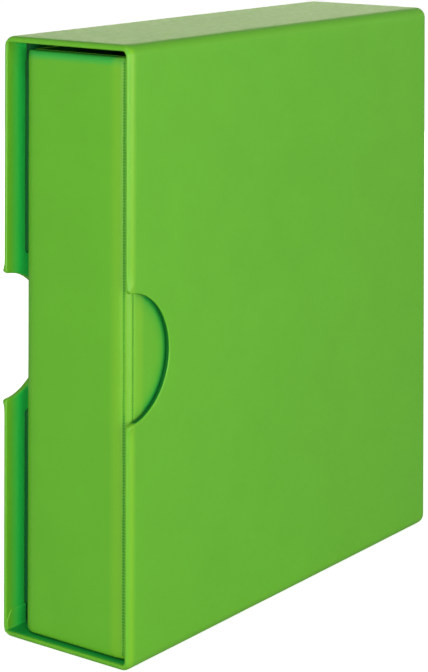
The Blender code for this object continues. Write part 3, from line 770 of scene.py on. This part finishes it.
# From the spine's face round its corner to a cover's face: (in from the cover's face,
# back from the spine's face).  The low points are the spine's weld line and the crease.
SPINE_CORNER = tuple((u * MM, v * MM) for u, v in (
    (13.0, 0.0), (10.4, 0.06), (8.6, 0.22), (7.2, 0.46), (6.2, 0.74), (5.3, 1.10),
    (4.7, 1.28), (4.2, 1.18), (3.5, 1.10), (2.7, 1.30), (1.9, 1.72), (1.1, 2.30),
    (0.55, 3.05), (0.60, 3.70), (0.98, 4.15), (1.14, 4.40), (1.00, 4.65), (0.74, 5.10),
    (0.48, 6.00), (0.28, 7.40), (0.10, 9.60), (0.0, 13.0)))

# The same round the other corner, which turns to the back cover.
BACK_CORNER = tuple((u * MM, v * MM) for u, v in (
    (13.0, 0.0), (10.0, 0.03), (8.6, 0.08), (7.2, 0.17), (6.3, 0.26), (5.8, 0.34),
    (5.3, 0.45), (4.3, 0.76), (3.2, 1.22), (2.3, 1.76), (1.60, 2.36), (1.08, 3.02),
    (0.84, 3.60), (0.94, 4.05), (0.98, 4.40), (0.80, 4.90), (0.56, 5.80), (0.36, 7.10),
    (0.20, 8.60), (0.08, 10.4), (0.0, 13.0)))


def cover_side(spine_corner):
    """One cover from its fore-edge to the middle of the spine, in from the cover's face.

    Each entry is (outer point, inner point, distance to the fore-edge).
    """
    depth = ALBUM_HIGH.y - ALBUM_LOW.y
    near = [depth - d for d in pad_steps()]
    path = [(0.0, v) for v in near + spread(near[-1], spine_corner[-1][1], 30)[1:]]
    path += list(reversed(smooth_path(spine_corner, 3)))
    path += [(u, 0.0) for u in spread(spine_corner[0][0], ALBUM_HALF, 6)[1:]]
    return [((u, v), (max(u, COVER), max(v, COVER)), depth - v) for u, v in path]


def cover_profile():
    """The binder from above, front cover's fore-edge to back cover's, as in cover_side."""
    front = ALBUM_LOW.y
    right = [((ALBUM_HIGH.x - u, front + v), (ALBUM_HIGH.x - iu, front + iv), distance)
             for (u, v), (iu, iv), distance in cover_side(SPINE_CORNER)]
    left = [((ALBUM_LOW.x + u, front + v), (ALBUM_LOW.x + iu, front + iv), distance)
            for (u, v), (iu, iv), distance in cover_side(BACK_CORNER)]
    middle = ((ALBUM_X, front), (ALBUM_X, front + COVER), ALBUM_HIGH.y - front)
    return right + [middle] + list(reversed(left))


# A cover's edge: (in from the edge, share of the cover's thickness above the lining).
# A thin welded flange stands out next to the lining, and the padded side rises from it.
PAD_EDGE = ((0.0, 0.06), (0.04, 0.14), (0.22, 0.17), (0.30, 0.24), (0.33, 0.40), (0.36, 0.56),
            (0.44, 0.68), (0.66, 0.79), (1.05, 0.87), (1.70, 0.93), (2.60, 0.97), (3.60, 0.99),
            (4.80, 1.0))


def pad_steps():
    """Distances from a welded edge at which the padded skin is sampled."""
    return [distance * MM for distance, share in PAD_EDGE]


def pad_share(distance):
    """How much of the cover's thickness stands at a distance from a welded edge."""
    reach = distance / MM
    for (d0, s0), (d1, s1) in zip(PAD_EDGE, PAD_EDGE[1:]):
        if reach <= d1:
            return mix(s0, s1, (reach - d0) / (d1 - d0))
    return 1.0


def round_corner(y, z, rear, low, high):
    """Round a cover's corner as seen from its side."""
    radius = PLAN_CORNER_RADIUS
    p = radius - (rear - y)
    q = radius - min(z - low, high - z)
    if p <= 0.0 or q <= 0.0:
        return y, z
    new_p = p * math.sqrt(1 - q * q / (2 * radius * radius))
    new_q = q * math.sqrt(1 - p * p / (2 * radius * radius))
    centre_z = low + radius if z - low < high - z else high - radius
    side = -1.0 if z - low < high - z else 1.0
    return rear - radius + new_p, centre_z + side * new_q


def album_rows():
    """Rows of the padded skin from the foot to the head of the binder."""
    low, high, rear = ALBUM_LOW.z, ALBUM_HIGH.z, ALBUM_HIGH.y
    ends = pad_steps()
    zs = [low + d for d in ends]
    zs += spread(zs[-1], high - ends[-1], 62)[1:]
    zs += [high - d for d in reversed(ends)]
    profile = cover_profile()
    rows = []
    for z in zs:
        row = []
        end_share = pad_share(min(z - low, high - z))
        for outer, inner, distance in profile:
            share = min(end_share, pad_share(distance))
            point = Vector((mix(inner[0], outer[0], share), mix(inner[1], outer[1], share), z))
            middle = smooth_step((min(z - low, high - z) - 6 * MM) / (20 * MM))
            sink = 0.06 * MM * (0.8 - noise.noise(point * 30.0)) * middle * share
            toward = Vector((inner[0] - outer[0], inner[1] - outer[1], 0.0)).normalized()
            point += toward * sink
            point.y, point.z = round_corner(point.y, z, rear, low, high)
            row.append(point)
        rows.append(row)
    return rows


def album_leatherette(material):
    piece = new_piece("album_leatherette", skin_rows(album_rows(), closed=False), material,
                      "album", ("album_outer_wrap",))
    thicken(piece, SKIN)


def album_lining(material):
    """The flat vinyl sheet inside the covers, welded to the padded skin at its edges."""
    half = ALBUM_HALF - COVER + LINING_THICKNESS / 2
    front = ALBUM_LOW.y + COVER - LINING_THICKNESS / 2
    edge = 0.75 * MM
    bend = 1.2 * MM
    path = [(half, y) for y in spread(ALBUM_HIGH.y - edge, front + bend, 30)]
    path += [(half - bend * (1 - math.cos(a)), front + bend * (1 - math.sin(a)))
             for a in quarter(5)]
    middle = [(x, front) for x in spread(half - bend, -half + bend, 12)[1:]]
    path = path + middle + [(-x, y) for x, y in reversed(path)]
    low, high = ALBUM_LOW.z + edge, ALBUM_HIGH.z - edge
    rows = []
    for step in range(61):
        z = mix(low, high, step / 60)
        row = []
        for x, y in path:
            point = Vector((ALBUM_X + x, y, z))
            ripple = 0.05 * MM * noise.noise(point * 60.0)
            point.x -= math.copysign(ripple, x)
            point.y, point.z = round_corner(y, z, ALBUM_HIGH.y - edge, low, high)
            row.append(point)
        rows.append(row)
    piece = new_piece("album_lining", skin_rows(rows, closed=False), material, "album",
                      ("album_inner_lining",))
    thicken(piece, LINING_THICKNESS, offset=0.0)


def foam_layer(name, material, keep, node):
    """A foam sheet between the padded skin and its board, pressed thin at the welds."""
    low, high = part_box(node)
    outer_depth, inner_depth = FOAM_DEPTH
    profile = [entry for entry in cover_profile() if keep(entry)]
    zs = [low.z, low.z + 0.4 * MM]
    zs += spread(low.z + FOAM_EDGE, high.z - FOAM_EDGE, 60)
    zs += [high.z - FOAM_EDGE, high.z - 0.4 * MM, high.z]
    last = len(profile) - 1
    rows = []
    for z in zs:
        end = min(z - low.z, high.z - z)
        outer_row, inner_row = [], []
        for i, (outer, inner, distance) in enumerate(profile):
            toward = Vector((inner[0] - outer[0], inner[1] - outer[1]))
            board = toward.length - (COVER - inner_depth) * toward.length / COVER
            toward.normalize()
            rim = min(end / FOAM_EDGE, min(i, last - i) / 2.0, 1.0)
            face = outer_depth + 0.5 * MM * (1 - math.sqrt(1 - (1 - rim) ** 2))
            puff = 0.05 * MM * noise.noise(Vector((outer[0], outer[1], z)) * 220.0)
            face = min(face + puff, board - 0.2 * MM)
            for row, depth in ((outer_row, face), (inner_row, board)):
                row.append(Vector((outer[0] + toward.x * depth, outer[1] + toward.y * depth, z)))
        rows.append(outer_row + list(reversed(inner_row)))
    new_piece(name, closed_solid(rows), material, "album", (node,))


def foams(material):
    low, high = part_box("front_cover_foam")

    def on_spine(entry):
        return abs(entry[0][0] - ALBUM_X) <= ALBUM_HALF - SPINE_FOAM_SETBACK

    def on_cover(side):
        return lambda entry: (side * (entry[0][0] - ALBUM_X) > ALBUM_HALF - 1.5 * MM
                              and low.y - 1e-6 <= entry[0][1] <= high.y + 1e-6)

    foam_layer("spine_foam_sheet", material, on_spine, "spine_foam")
    foam_layer("front_cover_foam_sheet", material, on_cover(1), "front_cover_foam")
    foam_layer("back_cover_foam_sheet", material, on_cover(-1), "back_cover_foam")


# The lines of weld marks: (corner, side, where they start and end along that corner)
WELD_LINES = {"front_spine_weld": (SPINE_CORNER, 1, 8.0 * MM, 10.0 * MM),
              "front_crease_weld": (SPINE_CORNER, 1, 14.2 * MM, 15.5 * MM),
              "back_crease_weld": (BACK_CORNER, -1, 13.4 * MM, 14.6 * MM)}


def weld_beads(name, material, corner, side, first, last):
    """A line of heat-weld marks along the binder, over a stretch of the spine's corner."""
    path = smooth_path(corner, 4)
    stretch = [p for p in path if first <= corner_distance(path, p) <= last]
    low, high = ALBUM_LOW.z + WELD_END, ALBUM_HIGH.z - WELD_END
    steps = int((high - low) / WELD_PITCH) * WELD_STEPS
    rows = []
    for step in range(steps + 1):
        z = mix(low, high, step / steps)
        wave = 0.5 - 0.5 * math.cos(math.tau * step / WELD_STEPS)
        row = []
        for i, (u, v) in enumerate(stretch):
            before = stretch[max(i - 1, 0)]
            after = stretch[min(i + 1, len(stretch) - 1)]
            normal = Vector((after[1] - before[1], -(after[0] - before[0]))).normalized()
            if normal.y > 0 or normal.x > 0:
                normal = -normal
            across = math.sin(math.pi * i / (len(stretch) - 1))
            rise = WELD_BEAD_RISE * across * (0.15 + 0.85 * wave) - 0.04 * MM
            u_lifted, v_lifted = u + normal.x * rise, v + normal.y * rise
            row.append(Vector((ALBUM_X + side * (ALBUM_HALF - u_lifted),
                               ALBUM_LOW.y + v_lifted, z)))
        rows.append(row)
    piece = new_piece(name, skin_rows(rows, closed=False), material, "album")
    thicken(piece, 0.1 * MM)


def corner_distance(path, point):
    """How far along the spine's corner a point lies, from the spine's flat face."""
    index = path.index(point)
    return sum(math.dist(a, b) for a, b in zip(path[:index], path[1:index + 1]))


# ---- rings and pages

def wire_piece(name, path, radius, material, node):
    """A round wire along a path in a level plane, with domed ends."""
    segments = 28
    rows = []
    points = [Vector(p) for p in path]
    last = len(points) - 1
    for i, point in enumerate(points):
        tangent = (points[min(i + 1, last)] - points[max(i - 1, 0)]).normalized()
        side = Vector((tangent.y, -tangent.x, 0.0))
        sizes = [(0.0, 1.0)]
        if i in (0, last):
            outward = -1.0 if i == 0 else 1.0
            dome = [(outward * RING_TIP_DOME * math.sin(a), max(0.02, math.cos(a)))
                    for a in quarter(4)]
            sizes = dome if i == last else list(reversed(dome))
        for ahead, size in sizes:
            centre = point + tangent * ahead * radius
            rows.append([centre + side * math.cos(math.tau * k / segments) * radius * size
                         + Vector((0, 0, 1)) * math.sin(math.tau * k / segments)
                         * radius * size for k in range(segments)])
    body = "left_ring_carrier" if node.startswith("left") else "right_ring_carrier"
    new_piece(name, closed_solid(rows), material, body, (node,))


def rings(material):
    """Both halves of each ring: a root in the carrier, then an arc to a domed tip."""
    start = math.asin(RING_ROOT_OFFSET / RING_RADIUS)
    end = math.pi - (RING_TIP_GAP / 2 + RING_TIP_DOME * RING_WIRE_RADIUS) / RING_RADIUS
    for number in range(1, RING_COUNT + 1):
        for name, side in (("left", -1), ("right", 1)):
            node = f"{name}_ring_half_{number}"
            low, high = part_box(node)
            z = (low.z + high.z) / 2
            root_y = low.y + 0.6 * MM
            path = [(ALBUM_X + side * RING_ROOT_OFFSET, root_y, z)]
            for step in range(49):
                angle = mix(start, end, step / 48)
                path.append((ALBUM_X + side * RING_RADIUS * math.sin(angle),
                             RING_Y - RING_RADIUS * math.cos(angle), z))
            wire_piece(f"{name}_ring_wire_{number}", path, RING_WIRE_RADIUS, material, node)


def rounded_outline(low, high, radius, steps=6):
    """Corner points of a rounded rectangle, anticlockwise."""
    points = []
    left, right = low[0] + radius, high[0] - radius
    foot, head = low[1] + radius, high[1] - radius
    for x, y, turn in ((right, foot, -0.25), (right, head, 0), (left, head, 0.25),
                       (left, foot, 0.5)):
        for step in range(steps + 1):
            angle = math.tau * (turn + 0.25 * step / steps)
            points.append((x + radius * math.cos(angle), y + radius * math.sin(angle)))
    return points


def flat_sheet(name, outlines, x, thickness, bevel, material, node):
    """A sheet in the YZ plane: the first outline is its edge, the others are openings."""
    curve = bpy.data.curves.new(name, "CURVE")
    curve.dimensions = "2D"
    curve.fill_mode = "BOTH"
    curve.extrude = thickness / 2 - bevel
    curve.bevel_depth = bevel
    curve.bevel_resolution = 1
    curve.offset = -bevel
    for outline in outlines:
        spline = curve.splines.new("POLY")
        spline.points.add(len(outline) - 1)
        spline.use_cyclic_u = True
        for corner, (y, z) in zip(spline.points, outline):
            corner.co = (y, z, 0.0, 1.0)
    holder = bpy.data.objects.new(name, curve)
    mesh = bpy.data.meshes.new_from_object(holder)
    bpy.data.objects.remove(holder)
    shape = bmesh.new()
    shape.from_mesh(mesh)
    for vertex in shape.verts:
        y, z, across = vertex.co
        vertex.co = (x + across, y, z)
    bmesh.ops.remove_doubles(shape, verts=shape.verts, dist=1e-6)
    new_piece(name, shape, material, "album", (node,), smooth_angle=30.0)


def page_outlines(low, high, ring_heights):
    """A stock page's edge and its slots for the rings."""
    outlines = [rounded_outline((low.y, low.z), (high.y, high.z), PAGE_CORNER_RADIUS)]
    slot_low, half = low.y + RING_SLOT_SETBACK, RING_SLOT[1] / 2
    for z in ring_heights:
        outlines.append(rounded_outline((slot_low, z - half), (slot_low + RING_SLOT[0], z + half),
                                        half - 0.1 * MM))
    return outlines


def foil_outlines(low, high):
    """A pocket foil's edge and the gaps between its strips."""
    outlines = [rounded_outline((low.y, low.z), (high.y, high.z), 0.8 * MM, 3)]
    half = FOIL_GAP / 2
    for gap in range(1, FOIL_GAPS + 1):
        z = mix(low.z, high.z, gap / (FOIL_GAPS + 1))
        outlines.append(rounded_outline((low.y + FOIL_GAP_SETBACK, z - half),
                                        (high.y - FOIL_GAP_SETBACK, z + half), 0.75 * MM, 3))
    return outlines


def page_sheets(card, foil):
    ring_boxes = [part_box(f"left_ring_half_{k}") for k in range(1, RING_COUNT + 1)]
    ring_heights = [(low.z + high.z) / 2 for low, high in ring_boxes]
    for number in range(1, PAGE_COUNT + 1):
        node = f"stock_page_{number:02d}"
        low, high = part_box(node)
        flat_sheet(f"card_page_{number:02d}", page_outlines(low, high, ring_heights),
                   (low.x + high.x) / 2, high.x - low.x, 0.12 * MM, card, node)
        node = f"pocket_foil_{number:02d}"
        low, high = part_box(node)
        flat_sheet(f"foil_strips_{number:02d}", foil_outlines(low, high), (low.x + high.x) / 2,
                   high.x - low.x, 0.06 * MM, foil, node)


# ---- CAD pieces that stay

def dress(piece, material, width, segments=2):
    """Give a CAD piece its material and round its edges."""
    piece.data.materials.clear()
    piece.data.materials.append(material)
    soften_edges(piece, width, segments)


def dress_cad_pieces(board, steel_along, steel_across):
    """Finish the boards and the ring mechanism's flat parts, which keep their CAD shape."""
    for name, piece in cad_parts.items():
        if name.endswith("_board"):
            dress(piece, board, PRESSED_ROUNDS.get(name, BOARD_ROUND), segments=3)
        elif name in ("ring_housing", "left_carrier_plate", "right_carrier_plate"):
            dress(piece, steel_along, 0.18 * MM)
        elif "lever" in name or "rivet" in name:
            dress(piece, steel_across, 0.2 * MM)


# ---- stage and camera

def level_camera():
    """A level camera whose lens is shifted down.  The shift only holds at its own place."""
    data = bpy.data.cameras.new("photo_camera")
    data.lens = CAMERA_LENS_MM
    data.sensor_width = 36.0
    data.clip_end = 20.0
    camera = bpy.data.objects.new("photo_camera", data)
    camera.location = CAMERA_PLACE
    aim = Euler((math.pi / 2 + CAMERA_PITCH, 0.0, CAMERA_AZIMUTH)).to_matrix()
    camera.rotation_euler = (aim @ Matrix.Rotation(CAMERA_ROLL, 3, "Z")).to_euler()
    bpy.context.scene.collection.objects.link(camera)
    stand = bpy.data.objects.new("camera_stand", None)
    stand.location = CAMERA_PLACE
    bpy.context.scene.collection.objects.link(stand)
    curve = data.driver_add("shift_y")
    curve.driver.type = "SUM"
    distance = curve.driver.variables.new()
    distance.type = "LOC_DIFF"
    distance.targets[0].id = camera
    distance.targets[1].id = stand
    for modifier in list(curve.modifiers):
        curve.modifiers.remove(modifier)
    for moved, shift in ((0.0, CAMERA_SHIFT), (CAMERA_LEEWAY, 0.0)):
        key = curve.keyframe_points.insert(moved, shift)
        key.interpolation = "CONSTANT"
    curve.extrapolation = "CONSTANT"
    bpy.context.scene.camera = camera


def area_light(name, place, target, size, power, colour):
    data = bpy.data.lights.new(name, "AREA")
    data.shape = "RECTANGLE"
    data.size, data.size_y = size
    data.energy = power
    data.color = colour
    light = bpy.data.objects.new(name, data)
    light.location = place
    aim = Vector(target) - Vector(place)
    light.rotation_euler = aim.to_track_quat("-Z", "Y").to_euler()
    light.visible_camera = False
    bpy.context.scene.collection.objects.link(light)


def round_light(name, azimuth, height, size, power, colour):
    """A soft box at a distance round the spine; azimuth 0 is straight in front of it."""
    place = (LIGHT_DISTANCE * math.sin(azimuth),
             ALBUM_LOW.y - LIGHT_DISTANCE * math.cos(azimuth), height)
    area_light(name, place, (0.0, ALBUM_LOW.y / 2, CASE_TOP / 2), size, power, colour)


def white_surround():
    """White to the camera; as a light, brighter at the horizon than overhead."""
    n = Nodes("white_surround", bpy.data.worlds, "Background")
    direction = n.add("ShaderNodeTexCoord").outputs["Generated"]
    height = n.add("ShaderNodeSeparateXYZ", {"Vector": direction}).outputs["Z"]
    fade = n.range(height, 0.05, 0.6, SURROUND_HORIZON, SURROUND_TOP)
    seen = n.add("ShaderNodeLightPath").outputs["Is Camera Ray"]
    strength = n.add("ShaderNodeMix", {"Factor": seen, "A": fade, "B": 1.0})
    n.feed(n.shader.inputs["Color"], (1.0, 1.0, 1.0, 1.0))
    n.feed(n.shader.inputs["Strength"], strength.outputs["Result"])
    bpy.context.scene.world = n.owner


def studio():
    """A pale floor, a white surround and soft boxes."""
    shape = bmesh.new()
    bmesh.ops.create_grid(shape, x_segments=2, y_segments=2, size=6.0)
    mesh = bpy.data.meshes.new("floor")
    shape.to_mesh(mesh)
    shape.free()
    floor = bpy.data.objects.new("floor", mesh)
    floor.location.z = CASE_LOW.z - FLOOR_DROP
    bpy.context.scene.collection.objects.link(floor)
    n = Nodes("pale_floor")
    seen = n.add("ShaderNodeLightPath").outputs["Is Camera Ray"]
    n.feed(n.shader.inputs["Emission Color"], (1.0, 1.0, 1.0, 1.0))
    n.feed(n.shader.inputs["Emission Strength"], n.math("MULTIPLY", seen, FLOOR_GLOW))
    colour = n.blend(seen, rgba((FLOOR_BOUNCE,) * 3), rgba((0.85, 0.85, 0.85)))
    mesh.materials.append(n.finish(colour, 0.9))
    white_surround()
    front, side, rear = (math.radians(a) for a in (25.0, 62.0, 105.0))
    round_light("front_box", front, 0.30, (0.9, 0.5), 14.8, (1.0, 0.99, 0.85))
    round_light("side_box", side, 0.32, (0.8, 0.5), 10.2, (1.0, 0.98, 0.70))
    round_light("rear_side_box", rear, 0.36, (0.8, 0.6), 7.0, (1.0, 1.0, 0.85))
    round_light("high_box", front, 2.60, (0.9, 0.6), 17.0, (1.0, 1.0, 0.95))
    area_light("back_sweep", (-1.06, 1.46, 0.50), (0.0, 0.0, 0.33), (1.6, 0.9), 7.6,
               (0.92, 1.0, 0.56))
    view = bpy.context.scene.view_settings
    view.view_transform = "Standard"
    view.look = "None"


# ---- the whole object

def main():
    album_green = leatherette("green_album_leatherette", album_painted_shade, spine_edge_painted_highlight)
    weld_green = leatherette("green_weld_leatherette", weld_marks_painted_shade)
    case_green = leatherette("green_case_leatherette", case_inside_painted_shade, case_rim_painted_highlight)
    lining = lining_vinyl("green_lining", GREEN_LINING_IN_SHADE)
    slipcase_leatherette(case_green)
    slipcase_lining(lining)
    corner_flap("slipcase_lower_corner_flap", case_green, -1, **LOWER_FLAP)
    corner_flap("slipcase_upper_corner_flap", case_green, 1, **UPPER_FLAP)
    album_leatherette(album_green)
    album_lining(lining)
    foams(foam_sheet())
    for name, line in WELD_LINES.items():
        weld_beads(name, weld_green, *line)
    rings(plated_steel("nickel_ring_wire", (1.0, 1.0, 0.3)))
    page_sheets(black_card(), clear_foil())
    dress_cad_pieces(greyboard(), plated_steel("nickel_strip", (1.0, 1.0, 0.04)),
                     plated_steel("nickel_levers", (0.1, 1.0, 1.0)))
    studio()
    level_camera()


main()
